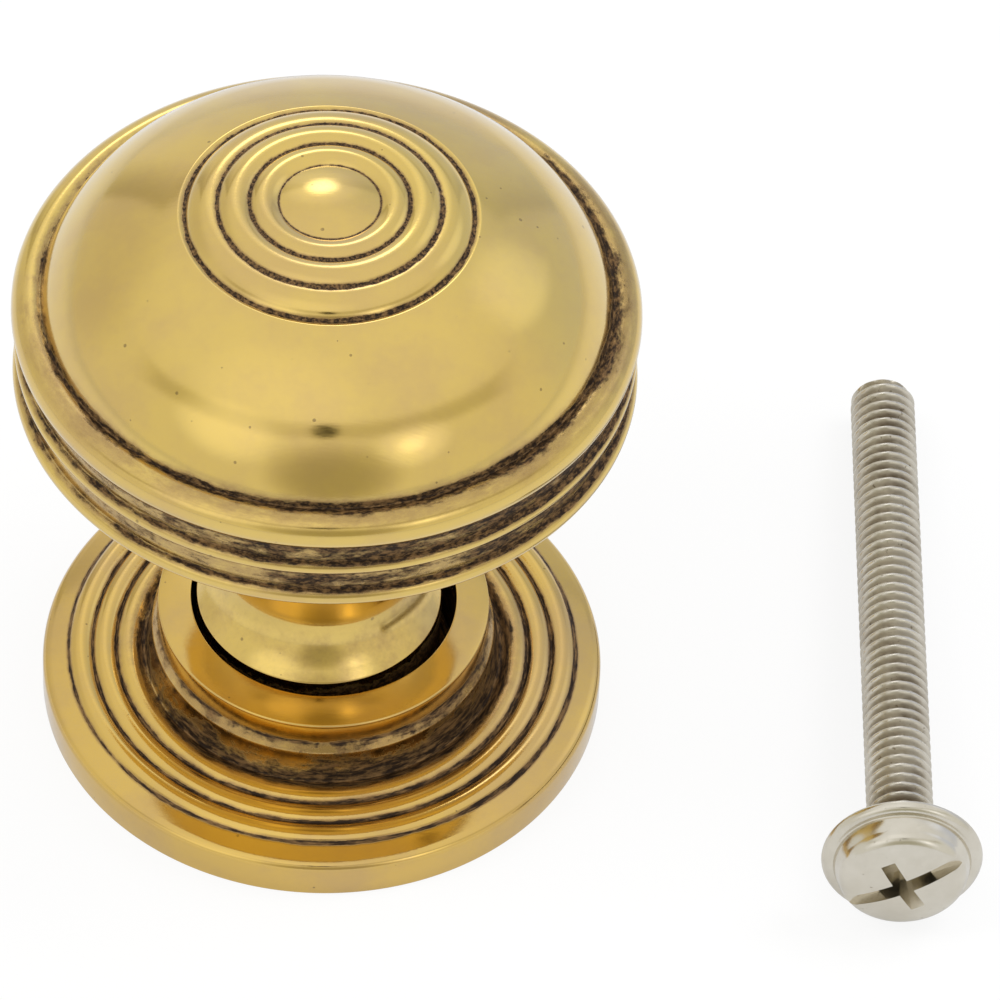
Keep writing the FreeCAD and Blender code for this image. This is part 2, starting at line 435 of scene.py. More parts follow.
# %% Gloss and relief of the brass
WAVE_LENGTH = 5.88
WIPE_WIDTH = 1.43
WIPE_ANGLE = 0.6
WIPE_STRETCH = 9
WAVE_HEIGHT = 0.07 * MM
SCRATCH_HEIGHT = 0.01 * MM
CRUST_HEIGHT = 0.06 * MM


def wiping_marks(tree, place):
    """Noise stretched along one direction, as a cloth wipes."""
    streak = add(
        tree, "ShaderNodeMapping", Vector=place, Rotation=(0, 0, WIPE_ANGLE), Scale=(1, WIPE_STRETCH, 1))
    noise = add(tree, "ShaderNodeTexNoise", Vector=streak.outputs[0], Scale=per_metre(WIPE_WIDTH), Detail=5,
                Roughness=0.7)
    return noise.outputs["Fac"]


def brass_roughness(tree, wiped, cloud, patina_and_shade, film):
    """Nearly a mirror, duller in wiped clouds and under the film, and matt on the oxide and painted shade."""
    smeared = combine(tree, "MULTIPLY", wiped, cloud)
    smear = add(tree, "ShaderNodeMapRange", Value=smeared, s1=0.12, s2=0.4, s3=0.05, s4=0.15).outputs[0]
    shine = combine(tree, "ADD", smear, combine(tree, "MULTIPLY", film, 0.22))
    return add(tree, "ShaderNodeMix", MIX_NUMBERS, s0=patina_and_shade, s2=shine, s3=0.5).outputs[0]


def brass_relief(tree, place, wiped, patina_and_shade, ragged):
    """The surface's direction after the mop's waves, the scratches and the crust, one on another."""
    wave = add(
        tree, "ShaderNodeTexNoise", Vector=place, Scale=per_metre(WAVE_LENGTH), Detail=1, Roughness=0.4)
    crust = combine(tree, "MULTIPLY", patina_and_shade, ragged)
    mopped = add(tree, "ShaderNodeBump", Strength=1.0, Distance=WAVE_HEIGHT, Height=wave.outputs["Fac"])
    scratched = add(tree, "ShaderNodeBump", Strength=0.3, Distance=SCRATCH_HEIGHT, Height=wiped,
                    Normal=mopped.outputs[0])
    crusted = add(tree, "ShaderNodeBump", Strength=0.5, Distance=CRUST_HEIGHT, Height=crust,
                  Normal=scratched.outputs[0])
    return crusted.outputs[0]


print("waves", WAVE_LENGTH, "mm long, scratches", WIPE_WIDTH, "mm apart")

# %% Aged brass
# Brass is a metal, so it mirrors the tent in its own colour. The patina is a part-metal oxide,
# rough and brown. The wax is a thin clear coat on the bare metal alone: it shows the tent in
# white where the eye grazes the rims.
RAGGED_ALONG = 16
GRAIN_ALONG = 34
WAX = 0.7
KNOB_PLACE = (-0.30, 0.20)


def aged_brass(name, axis, polish, haze, ragged_share, leaning, shortness):
    """Antiqued brass turned about an axis. Its marks are shortness times as many round it."""
    material, tree = new_material(name)
    object_place = add(tree, "ShaderNodeTexCoord").outputs["Object"]
    centre = (axis[0] * MM, axis[1] * MM, 0)
    place = add(
        tree, "ShaderNodeVectorMath", {"operation": "SUBTRACT"}, s0=object_place, s1=centre).outputs[0]
    clouds = add(
        tree, "ShaderNodeTexNoise", Vector=place, Scale=per_metre(CLOUD_SIZE), Detail=6, Roughness=0.66)
    cloud = clouds.outputs["Fac"]
    ragged = turned_noise(tree, place, RAGGED_ALONG * shortness, RAGGED_WIDTH)
    grain = turned_noise(tree, place, GRAIN_ALONG * shortness, GRAIN_WIDTH)
    wiped = wiping_marks(tree, place)
    level = patina_and_shade_level(tree, place, cloud, ragged, ragged_share, leaning)
    # This mask holds the patina and the painted shade alike.
    patina_and_shade = add(tree, "ShaderNodeMapRange", SMOOTH, Value=level, s1=0.44, s2=0.68).outputs[0]
    film = add(tree, "ShaderNodeMapRange", SMOOTH, Value=level, s1=0.06, s2=0.5, s4=0.6).outputs[0]
    colour = brass_colour(tree, place, cloud, grain, patina_and_shade, film, polish, haze)
    rough = brass_roughness(tree, wiped, cloud, patina_and_shade, film)
    relief = brass_relief(tree, place, wiped, patina_and_shade, ragged)
    metal = add(tree, "ShaderNodeMapRange", Value=patina_and_shade, s3=1.0, s4=0.65).outputs[0]
    waxed = add(tree, "ShaderNodeMapRange", Value=patina_and_shade, s3=WAX, s4=0.0).outputs[0]
    skin = add(tree, "ShaderNodeBsdfPrincipled", Base_Color=colour, Metallic=metal, Roughness=rough,
               Normal=relief, Coat_Weight=waxed, Coat_Roughness=0.1)
    add(tree, "ShaderNodeOutputMaterial", Surface=skin.outputs[0])
    return material


knob_brass = aged_brass(
    "polished_antiqued_brass_knob", KNOB_PLACE, "#E5C56A", "#DAB96F", 0.7, (11, -8, 0), 1.0)
rose_brass = aged_brass("polished_antiqued_brass_rose", (0, 0), "#E0BB60", "#D3B06A", 0.4, (5, -2, 0), 0.3)
print("brass:", knob_brass.name, rose_brass.name)

# %% [markdown]
# The knob's section runs from the top of its tapped hole out round the foot, up the neck
# and over the head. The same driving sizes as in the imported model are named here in
# millimetres, because this script sees only the model's boxes.

# %% Sizes of the knob
HOLE_RADIUS = 1.727
HOLE_TOP = 20.5
RECESS_FLOOR = 2.5
FOOT_RADIUS = 7.68
FOOT_EDGE = 8.13
FOOT_BEVEL = 0.15
NECK_RADIUS = 5.78
FLARE = 4.7
UNDERSIDE_RADIUS = 17.25
UNDERSIDE_ROUND = 7.0
UNDERSIDE_SLOPE = 10.0
LIP = 0.5
BEAD_CENTRE = (17.8, 34.23)
BEAD_RADIUS = 1.2
BEAD_SPREAD = 61
GROOVES_AND_REEDS = (1.5, 1.15), (1.2, 0.94)
DOME_ROUND = 9.7
DOME_FOOT_SLOPE = 70.6
DOME_TOP_SLOPE = 23.5
DOME_INNER = 9.03
CROWN = 43.73
RINGS = (8.6, 1.62), (6.68, 0.76), (4.78, 0.48), (3.05, 0.48)
RING_SWELL = 0.19


# %% Section of the knob
def add_neck(points, reed_bottom):
    """A long hollow arc up the neck, then a tighter one that spreads under the head."""
    start = points[-1]
    end = (UNDERSIDE_RADIUS, reed_bottom - LIP)
    last = math.radians(90 - UNDERSIDE_SLOPE)
    run = end[0] - start[0] - UNDERSIDE_ROUND * (1 - math.cos(last))
    climb = end[1] - start[1] - UNDERSIDE_ROUND * math.sin(last)
    turn = 2 * math.atan2(run, climb)
    long_round = climb / math.sin(turn) + UNDERSIDE_ROUND
    circle_to(points, (start[0] + long_round, start[1]), long_round, 180, 180 - math.degrees(turn), 30)
    centre = (end[0] + UNDERSIDE_ROUND * math.cos(last), end[1] - UNDERSIDE_ROUND * math.sin(last))
    circle_to(points, centre, UNDERSIDE_ROUND, 180 - math.degrees(turn), 90 + UNDERSIDE_SLOPE, 16)


def add_head(points):
    """Two reeds, the rim bead, the dome's round shoulder and slope, the rings and the crown's ball.

    A ball that rises by h over a ring of radius r has the radius (r squared + h squared) / 2h.
    """
    height = points[-1][1]
    for groove, reed in GROOVES_AND_REEDS:
        arc_to(points, (points[-1][0], height + reed), reed / 2)
        height += reed + groove
        points.append((points[-1][0], height))
    circle_to(points, BEAD_CENTRE, BEAD_RADIUS, -BEAD_SPREAD, 180 - BEAD_SPREAD, 30)
    centre = on_circle(points[-1], DOME_ROUND, 270 - DOME_FOOT_SLOPE)
    circle_to(points, centre, DOME_ROUND, 90 - DOME_FOOT_SLOPE, 90 - DOME_TOP_SLOPE, 30)
    climb = (points[-1][0] - DOME_INNER) * math.tan(math.radians(DOME_TOP_SLOPE))
    points.append((DOME_INNER, points[-1][1] + climb))
    points.append((RINGS[0][0], CROWN - RINGS[0][1]))
    for radius, drop in RINGS[1:]:
        arc_to(points, (radius, CROWN - drop), RING_SWELL * (points[-1][0] - radius))
    radius, rise = RINGS[-1]
    ball = (radius ** 2 + rise ** 2) / (2 * rise)
    last = math.degrees(math.asin(radius / ball))
    circle_to(points, (0, CROWN - ball), ball, 90 - last, 90, 12)
    points[-1] = (0, CROWN)


def knob_outline():
    """Radius and height from the hole's top round the foot, the flare, the neck and the head.

    The flare is an arc that ends upright at the neck, so an arc of radius f that closes in by c
    turns through the angle whose cosine is 1 - c / f.
    """
    points = [(0, HOLE_TOP), (HOLE_RADIUS, HOLE_TOP), (HOLE_RADIUS, RECESS_FLOOR)]
    points += [(FOOT_RADIUS, RECESS_FLOOR), (FOOT_RADIUS, FOOT_EDGE)]
    points.append((FOOT_RADIUS - FOOT_BEVEL, FOOT_EDGE + FOOT_BEVEL))
    turn = math.acos(1 - (points[-1][0] - NECK_RADIUS) / FLARE)
    centre = (NECK_RADIUS + FLARE, points[-1][1] + FLARE * math.sin(turn))
    circle_to(points, centre, FLARE, 180 + math.degrees(turn), 180, 24)
    groove_radius, bead_bottom = on_circle(BEAD_CENTRE, BEAD_RADIUS, -BEAD_SPREAD)
    reed_bottom = bead_bottom - sum(groove + reed for groove, reed in GROOVES_AND_REEDS)
    add_neck(points, reed_bottom)
    points.append((groove_radius, reed_bottom))
    add_head(points)
    return points


print("knob section", len(knob_outline()), "points")

# %% [markdown]
# The stains follow the section: strong and narrow between the crown's rings, wide in the two
# edge grooves, and a faint film beside the bead and on the flare, where a cloth reaches but
# doesn't rub hard. Painted shade darkens the grooves' corners and the foot down in the recess.

# %% Stains and painted shade of the knob
CROWN_STAINS = (1.0, 0.24), (1.0, 0.22), (1.0, 0.2), (0.85, 0.1)
GROOVE_STAIN = (0.5, 0.55)
# Painted shade in each edge groove's two corners, where the groove wall meets a reed.
CORNER_PAINTED_SHADE = (0.72, 0.3)
CORNER_TUCK = 0.1
LIP_STAIN = (0.7, 0.3)
DOME_GROOVE_STAIN = (0.74, 0.42)
DOME_GROOVE_HAZE = (0.3, 1.1)
HAZE_SHIFT = (0.7, 0.2)
FLARE_MIDDLE = (NECK_RADIUS + 0.6, 9.8)
FLARE_HAZE = (0.2, 2.2)
# Painted shade on the foot below the collar's top, where it stands in the rose's dark recess.
FOOT_MIDDLE = (FOOT_RADIUS, 6.4)
FOOT_PAINTED_SHADE = (0.95, 1.2)


def knob_hollows():
    """Radius, height, depth and width of each stained hollow and painted shade, from the crown down to the
    foot.
    """
    hollows = [(radius, CROWN - drop, *look) for (radius, drop), look in zip(RINGS, CROWN_STAINS)]
    groove_radius, height = on_circle(BEAD_CENTRE, BEAD_RADIUS, -BEAD_SPREAD)
    for groove, reed in reversed(GROOVES_AND_REEDS):
        # Each groove gets painted shade in its two corners and patina in its middle.
        hollows.append((groove_radius, height, *CORNER_PAINTED_SHADE))
        hollows.append((groove_radius, height - groove / 2, *GROOVE_STAIN))
        hollows.append((groove_radius + CORNER_TUCK, height - groove - CORNER_TUCK, *CORNER_PAINTED_SHADE))
        height -= groove + reed
    radius, top = on_circle(BEAD_CENTRE, BEAD_RADIUS, 180 - BEAD_SPREAD)
    hollows.append((radius, top, *DOME_GROOVE_STAIN))
    hollows.append((radius + HAZE_SHIFT[0], top + HAZE_SHIFT[1], *DOME_GROOVE_HAZE))
    hollows.append((groove_radius, height, *LIP_STAIN))
    hollows.append((*FLARE_MIDDLE, *FLARE_HAZE))
    # Painted shade on the foot, low in the recess.
    hollows.append((*FOOT_MIDDLE, *FOOT_PAINTED_SHADE))
    return hollows


knob = add_turned("turned_knob", knob_outline(), knob_hollows(), 256, 384, KNOB_PLACE, knob_brass)
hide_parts("knob")
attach(knob, "root")

# %% [markdown]
# The rose is turned from thicker brass: a plain rim, three reeds that step up inwards, a
# hollow that sweeps up to a raised collar, and a recess in the collar for the knob's foot.
# Its section is a closed ring, because a screw hole goes through the middle.

# %% Sizes and section of the rose
ROSE_RADIUS = 17.6
ROSE_RIM = 2.4
ROSE_RIM_ROUND = 0.35
ROSE_RIM_RISE = 0.15
REED_START = (15.95, 2.9)
REED_PITCH = 1.49
REED_RISE = 0.08
REED_SWELL = 0.36
VALLEY = (0.3, 0.1)
COVE_TOP = 5.29
COVE_HOLLOW = 0.22
COLLAR_RADIUS = 10.37
COLLAR_STEP = (0.4, 0.6)
COLLAR_EDGE = 7.5
COLLAR_TOP = 8.0
RECESS_RADIUS = 8.3
SCREW_HOLE = 2.453
RING_GAP = 0.04


def rose_valley(number):
    """Radius and height of the valley after so many reeds, each a pitch in and a rise up."""
    return REED_START[0] - number * REED_PITCH, REED_START[1] + number * REED_RISE


def rose_outline():
    """Radius and height from the hole's bottom out under the rose, over the rim and back in."""
    points = [(SCREW_HOLE, 0), (ROSE_RADIUS, 0), (ROSE_RADIUS, ROSE_RIM - ROSE_RIM_ROUND)]
    arc_to(points, (ROSE_RADIUS - ROSE_RIM_ROUND, ROSE_RIM + ROSE_RIM_RISE), 0.25 * ROSE_RIM_ROUND)
    points.append(REED_START)
    for number in (1, 2, 3):
        arc_to(points, rose_valley(number), REED_SWELL)
    points.append((points[-1][0] - VALLEY[0], points[-1][1] - VALLEY[1]))
    arc_to(points, (COLLAR_RADIUS + COLLAR_STEP[0], COVE_TOP), -COVE_HOLLOW)
    points.append((COLLAR_RADIUS, COVE_TOP + COLLAR_STEP[1]))
    points += [(COLLAR_RADIUS, COLLAR_EDGE), (RECESS_RADIUS, COLLAR_TOP)]
    points += [(RECESS_RADIUS, RECESS_FLOOR), (SCREW_HOLE, RECESS_FLOOR), (SCREW_HOLE, RING_GAP)]
    return points


print("rose section", len(rose_outline()), "points")

# %% [markdown]
# On the rose the patina fills the three valleys and most of the cove and thins out on the step
# under the collar. Painted shade blackens the recess, down its wall and over its floor.

# %% Stains and painted shade of the rose
ROSE_PATINA_AND_SHADE = (
    (*rose_valley(0), 0.85, 0.2),
    (*rose_valley(1), 0.95, 0.26),
    (*rose_valley(2), 0.95, 0.3),
    (rose_valley(3)[0] - 0.2, rose_valley(3)[1] + 0.1, 0.74, 0.85),
    (COLLAR_RADIUS + COLLAR_STEP[0] + 0.2, COVE_TOP - 1.0, 0.3, 0.8),
    (COLLAR_RADIUS + 0.2, COVE_TOP + 0.3, 0.28, 0.5),
    (COLLAR_RADIUS, COVE_TOP + COLLAR_STEP[1], 0.4, 0.2),
    # Painted shade: the recess blackened down its wall and over its floor.
    (RECESS_RADIUS, 5.0, 1.0, 1.8),
    (0.8 * RECESS_RADIUS, RECESS_FLOOR, 1.0, 3.0))
rose = add_turned("turned_rose", rose_outline(), ROSE_PATINA_AND_SHADE, 250, 384, (0, 0), rose_brass)
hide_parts("rose")
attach(rose, "root")

# %% [markdown]
# The fixing screw is cold-headed steel with a rolled thread, then nickel plated. The thread is
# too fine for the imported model, so it is cut here: the shank is part of the same spun grid, and
# each point moves inwards by the depth of a sixty degree groove that climbs once per turn.

# %% Sizes of the screw
THREAD_RADIUS = 2.083
THREAD_PITCH = 25.4 / 32
THREAD_DEPTH = 0.6 * THREAD_PITCH
THREAD_STEP = THREAD_PITCH / 14
SCREW_LENGTH = 40.8
TIP_BEVEL = 0.45
FLANGE_RADIUS = 5.0
FLANGE_THICKNESS = 0.72
FLANGE_EDGE = 0.25
FLANGE_INNER = 4.25
FLANGE_BULGE = 0.12
PAN_RADIUS = 4.0
PAN_HEIGHT = 2.83
PAN_SIDE = 0.9
PAN_CROWN = 0.42
PAN_SHOULDER = 0.78
CROWN_BULGE = 0.12
SHOULDER_BULGE = 0.19
SIDE_BULGE = 0.05
print("screw", SCREW_LENGTH, "mm long with", round(SCREW_LENGTH / THREAD_PITCH), "turns of thread")


# %% Section of the screw
def screw_head_outline():
    """From the middle of the head's face, out over the pan and the washer flange, to the shank."""
    points = [(0, -PAN_HEIGHT)]
    arc_to(points, (PAN_RADIUS - PAN_SHOULDER, -PAN_HEIGHT + PAN_CROWN), CROWN_BULGE, 10)
    arc_to(points, (PAN_RADIUS, -FLANGE_THICKNESS - PAN_SIDE), SHOULDER_BULGE, 10)
    arc_to(points, (FLANGE_INNER, -FLANGE_THICKNESS + 0.02), SIDE_BULGE, 6)
    points.append((FLANGE_INNER + 0.12, -FLANGE_THICKNESS + 0.04))
    arc_to(points, (FLANGE_RADIUS - 0.06, -FLANGE_EDGE - 0.1), FLANGE_BULGE, 10)
    arc_to(points, (FLANGE_RADIUS - FLANGE_EDGE, 0), FLANGE_BULGE, 8)
    points.append((THREAD_RADIUS, 0))
    return points


def screw_outline():
    """The softened head, then the shank with 14 points to each turn of thread, then the tip."""
    head = soften(screw_head_outline(), rounding=0.045)
    head, _ = thin_out(head, np.zeros(len(head)), 90)
    rows = np.arange(THREAD_STEP, SCREW_LENGTH - TIP_BEVEL, THREAD_STEP)
    shank = np.column_stack([np.full(len(rows), THREAD_RADIUS), rows])
    bevel = np.linspace(0, TIP_BEVEL, 9)
    tip = np.column_stack([THREAD_RADIUS - bevel, SCREW_LENGTH - TIP_BEVEL + bevel])
    return np.vstack([head, shank, tip, [[0, SCREW_LENGTH]]])


print("screw section", len(screw_outline()), "points")

# %% Cutting the thread
CREST_SHARE = 0.16
FLANK_SHARE = 0.62
THREAD_START = 0.25


def threaded(grid):
    """Moves shank points in by the groove's depth at their phase, height / pitch - angle / turn.

    The groove is 0 on the crest and eases to 1 at the root over its flank, as 3 g squared less
    2 g cubed, and it fades in over the first turn under the head.
    """
    radius = np.hypot(grid[..., 0], grid[..., 1])
    height = grid[..., 2]
    angle = np.arctan2(grid[..., 1], grid[..., 0])
    phase = (height / THREAD_PITCH - angle / (2 * np.pi)) % 1
    groove = np.clip((np.abs(2 * phase - 1) - CREST_SHARE) / FLANK_SHARE, 0, 1)
    groove = groove * groove * (3 - 2 * groove)
    fade = np.clip((height - THREAD_START) / THREAD_PITCH, 0, 1)
    cut = THREAD_RADIUS - THREAD_DEPTH * groove * fade
    on_shank = (height > 0.02) & (radius > THREAD_RADIUS - TIP_BEVEL - 0.01)
    scale = np.where(on_shank, np.minimum(radius, cut) / np.maximum(radius, ON_AXIS), 1)
    grid[..., :2] *= scale[..., None]
    return grid


print("thread", round(THREAD_PITCH, 3), "mm to a turn,", round(THREAD_DEPTH, 3), "mm deep")

# %% [markdown]
# The driver recess is struck by a punch: a slot right across the pan and a tapering cross at
# its middle. The punch is made as a mesh and taken away with a Boolean modifier, which leaves
# crisp walls in the spun head at any angle.

# %% Driver recess
SLOT_WIDTH = 1.05
SLOT_DEPTH = 0.85
SLOT_ANGLE = -30
SLOT_HALF = 6
SLOT_FLARE = (0.08, 0.14)
CROSS_WIDTH = 0.95
CROSS_FLARE = (0.06, 0.12)
CROSS_HALF = 2.2
CROSS_DEPTH = 2.0
CROSS_TAPER = math.tan(math.radians(26))
PUNCH_CLEAR = 1


def tapered_block(top, bottom, high, low, turn):
    """A block with a rectangle above and one below, (half length, half width) each, turned about Z."""
    ends = [(-1, -1), (1, -1), (1, 1), (-1, 1)]
    corners = [(sx * size[0], sy * size[1], z) for size, z in ((top, high), (bottom, low)) for sx, sy in ends]
    cos, sin = math.cos(math.radians(turn)), math.sin(math.radians(turn))
    points = [(x * cos - y * sin, x * sin + y * cos, z) for x, y, z in corners]
    faces = [(3, 2, 1, 0), (4, 5, 6, 7), (1, 5, 4, 0), (2, 6, 5, 1), (3, 7, 6, 2), (0, 4, 7, 3)]
    return points, faces


def punch_blocks():
    """The slot's block and the cross's two, which taper from above the face to their own depths."""
    above = -PAN_HEIGHT - PUNCH_CLEAR
    slot_top = (SLOT_HALF, SLOT_WIDTH / 2 + SLOT_FLARE[0])
    slot_bottom = (SLOT_HALF, SLOT_WIDTH / 2 - SLOT_FLARE[1])
    wing_top = (CROSS_HALF + PUNCH_CLEAR * CROSS_TAPER, CROSS_WIDTH / 2 + CROSS_FLARE[0])
    wing_bottom = (CROSS_HALF - CROSS_DEPTH * CROSS_TAPER, CROSS_WIDTH / 2 - CROSS_FLARE[1])
    blocks = [tapered_block(slot_top, slot_bottom, above, -PAN_HEIGHT + SLOT_DEPTH, SLOT_ANGLE)]
    for turn in (SLOT_ANGLE, SLOT_ANGLE + 90):
        blocks.append(tapered_block(wing_top, wing_bottom, above, -PAN_HEIGHT + CROSS_DEPTH, turn))
    return blocks


def add_recess(piece):
    """Takes the slot and the cross away from the head with exact Boolean modifiers."""
    for number, (points, faces) in enumerate(punch_blocks()):
        punch = add_mesh("punch_%d" % number, points, faces, piece.data.materials[0])
        modifier = piece.modifiers.new("punched", "BOOLEAN")
        modifier.operation = "DIFFERENCE"
        modifier.solver = "EXACT"
        modifier.object = punch
        depsgraph = bpy.context.evaluated_depsgraph_get()
        cut = bpy.data.meshes.new_from_object(piece.evaluated_get(depsgraph))
        piece.modifiers.clear()
        piece.data = cut
        bpy.data.objects.remove(punch)


print("recess of", len(punch_blocks()), "blocks, slot", SLOT_DEPTH, "and cross", CROSS_DEPTH, "mm deep")

# %% [markdown]
# Bright nickel over steel is a slightly warm, pale grey mirror. A drawer screw has been
# handled and tumbled with others, so its thread is grimy and dull between the crests, where
# painted shade darkens it more, and its head has a soft haze and a few tiny pits.

# %% Nickel plate
NICKEL_HAZE_SIZE = 2.381
GRIME_SIZE = 3.846
PIT_SIZE = 0.3846
NICKEL_CLEAN = "#E4DFD2"
NICKEL_HAZY = "#C9C1AF"
GRIME_AND_SHADE_BROWN = "#7A6850"
PIT_GREY = "#8E8270"


def nickel_plate():
    """A mirror, hazy in clouds, soiled on the thread with painted shade and roughness down its groove,
    pitted.
    """
    material, tree = new_material("nickel_plated_steel")
    place = add(tree, "ShaderNodeTexCoord").outputs["Object"]
    groove = add(tree, "ShaderNodeAttribute", {"attribute_name": "groove"}).outputs["Fac"]
    hazes = add(
        tree, "ShaderNodeTexNoise", Vector=place, Scale=per_metre(NICKEL_HAZE_SIZE), Detail=4,
        Roughness=0.6)
    haze = hazes.outputs["Fac"]
    tone = add(tree, "ShaderNodeMix", MIX_COLOURS, s0=haze, s6=linear(NICKEL_CLEAN), s7=linear(NICKEL_HAZY))
    patches = add(
        tree, "ShaderNodeTexNoise", Vector=place, Scale=per_metre(GRIME_SIZE), Detail=4, Roughness=0.7)
    patchiness = add(
        tree, "ShaderNodeMapRange", SMOOTH, Value=patches.outputs["Fac"], s1=0.42, s2=0.66, s3=0.3, s4=1.3)
    # Grime over the thread, with painted shade that deepens down its groove.
    grime_and_shade = add(tree, "ShaderNodeMapRange", Value=groove, s1=0.1, s2=1.0, s3=0.0, s4=0.7).outputs[0]
    dirt_and_shade = combine(tree, "MINIMUM", combine(tree, "MULTIPLY", grime_and_shade, patchiness.outputs[0]), 1.0)
    dusty_and_shaded = add(tree, "ShaderNodeMix", MIX_COLOURS, s0=dirt_and_shade, s6=tone.outputs[2], s7=linear(GRIME_AND_SHADE_BROWN))
    pits = add(tree, "ShaderNodeTexNoise", Vector=place, Scale=per_metre(PIT_SIZE), Detail=3, Roughness=0.6)
    pitting = combine(tree, "ADD", pits.outputs["Fac"], combine(tree, "MULTIPLY", groove, 0.05))
    pitted = add(tree, "ShaderNodeMapRange", SMOOTH, Value=pitting, s1=0.67, s2=0.77).outputs[0]
    colour = add(tree, "ShaderNodeMix", MIX_COLOURS, s0=pitted, s6=dusty_and_shaded.outputs[2], s7=linear(PIT_GREY))
    sheen = add(tree, "ShaderNodeMapRange", Value=haze, s1=0.3, s2=0.7, s3=0.13, s4=0.27).outputs[0]
    rough = add(tree, "ShaderNodeMath", {"operation": "MULTIPLY_ADD"}, s0=groove, s1=0.3, s2=sheen).outputs[0]
    bump = add(tree, "ShaderNodeBump", Strength=0.25, Distance=0.04 * MM, Height=haze)
    skin = add(tree, "ShaderNodeBsdfPrincipled", Base_Color=colour.outputs[2], Metallic=1.0, Roughness=rough,
               Normal=bump.outputs[0])
    add(tree, "ShaderNodeOutputMaterial", Surface=skin.outputs[0])
    return material


nickel = nickel_plate()
print("plate:", nickel.name)

# %% [markdown]
# The screw lies on the table where it was taken out, on its flange's edge and its tip. It is
# made upright, with its thread and recess, and then its points are tipped over in one step.

# %% Make the screw and lay it down
SCREW_X = 36.0
SCREW_FLANGE_Y = -17.5
THREAD_GRIME = 0.25
SHARP_EDGE = 38


def lay_down(vertices):
    """Tips the screw over so that the flange's edge and the tip's edge both touch the table."""
    lie = math.atan2(FLANGE_RADIUS - THREAD_RADIUS, SCREW_LENGTH - TIP_BEVEL + FLANGE_EDGE)
    x, y, z = np.array(vertices).T
    z = z + FLANGE_EDGE
    return np.column_stack([
        x + SCREW_X,
        z * math.cos(lie) - y * math.sin(lie) + SCREW_FLANGE_Y,
        -y * math.cos(lie) - z * math.sin(lie) + FLANGE_RADIUS * math.cos(lie)])


def thread_grime_and_shade(upright):
    """0 off the thread, and on it a quarter plus three quarters of how deep the point is sunk."""
    # The quarter is grime over the whole thread; the part that grows with depth is painted shade in the
    # groove.
    sunk = np.clip((THREAD_RADIUS - np.hypot(upright[:, 0], upright[:, 1])) / THREAD_DEPTH, 0, 1)
    on_thread = (upright[:, 2] > 0.1) & (upright[:, 2] < SCREW_LENGTH - TIP_BEVEL)
    return np.where(on_thread, THREAD_GRIME + (1 - THREAD_GRIME) * sunk, 0)


def add_screw():
    """The spun, threaded and punched screw, laid down, with its soiling and painted groove shade as an
    attribute.
    """
    vertices, faces = spin(screw_outline(), 64)
    piece = add_mesh("fixing_screw_threaded", threaded(vertices), faces, nickel)
    add_recess(piece)
    points = np.empty(len(piece.data.vertices) * 3)
    piece.data.vertices.foreach_get("co", points)
    upright = points.reshape(-1, 3) / MM
    add_values(piece, "groove", thread_grime_and_shade(upright))
    piece.data.vertices.foreach_set("co", (lay_down(upright) * MM).ravel())
    piece.data.set_sharp_from_angle(angle=math.radians(SHARP_EDGE))
    piece.data.update()
    print(piece.name, len(piece.data.polygons), "faces")
    return piece


screw = add_screw()
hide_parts("fixing_screw")
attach(screw, "root")

# %% [markdown]
# The pieces stand on a white table in a white light tent. The camera should see the table as
# plain white, while the metal should mirror it a little greyer, so one material gives light of
# its own to the camera, some to the mirrors, and is paper for everything else.

# %% Table
TABLE_HALF = 2000
CAMERA_SHARE = 0.86
MIRROR_SHARE = 0.5
PAPER = "#F7F7F7"
MIRRORED_PAPER = "#CDD0D8"


def white_table():
    """White paper. The camera sees it nearly as plain white, polished metal as a cooler grey."""
    material, tree = new_material("white_table")
    path = add(tree, "ShaderNodeLightPath").outputs
    mirrored = combine(tree, "MAXIMUM", path["Is Glossy Ray"], path["Is Transmission Ray"])
    seen = combine(tree, "MULTIPLY", path["Is Camera Ray"], CAMERA_SHARE)
    share = add(tree, "ShaderNodeMath", {"operation": "MULTIPLY_ADD"}, s0=mirrored, s1=MIRROR_SHARE, s2=seen)
    paper = add(tree, "ShaderNodeBsdfDiffuse", Color=linear(PAPER))
    tone = add(
        tree, "ShaderNodeMix", MIX_COLOURS, s0=mirrored, s6=linear("#FFFFFF"), s7=linear(MIRRORED_PAPER))
    glow = add(tree, "ShaderNodeEmission", Color=tone.outputs[2], Strength=1.0)
    both = add(tree, "ShaderNodeMixShader", s0=share.outputs[0], s1=paper.outputs[0], s2=glow.outputs[0])
    add(tree, "ShaderNodeOutputMaterial", Surface=both.outputs[0])
    return material


corners = [(sx * TABLE_HALF, sy * TABLE_HALF, 0) for sx, sy in ((-1, -1), (1, -1), (1, 1), (-1, 1))]
table = add_mesh("table", corners, [(0, 1, 2, 3)], white_table())
print("table", 2 * TABLE_HALF, "mm square")

# %% [markdown]
# Polished metal shows the tent and little else, so the tent is drawn with care, by direction
# alone: a bright ceiling, a front and a left wall that are a little darker, a back wall whose
# corners are shaded as a box's are, a dim slit where the tent opens, the small dark lens in it,
# and the lamps' soft glows through the cloth. Real softboxes could do it, but then every one
# would cast light too, and a patch of sky is quicker to move until its reflection fits.


# %% Patches of the tent
def toward(azimuth, elevation):
    """Unit vector: azimuth from -Y (the front) towards +X, elevation above the table."""
    a, e = math.radians(azimuth), math.radians(elevation)
    return (math.sin(a) * math.cos(e), -math.cos(a) * math.cos(e), math.sin(e))


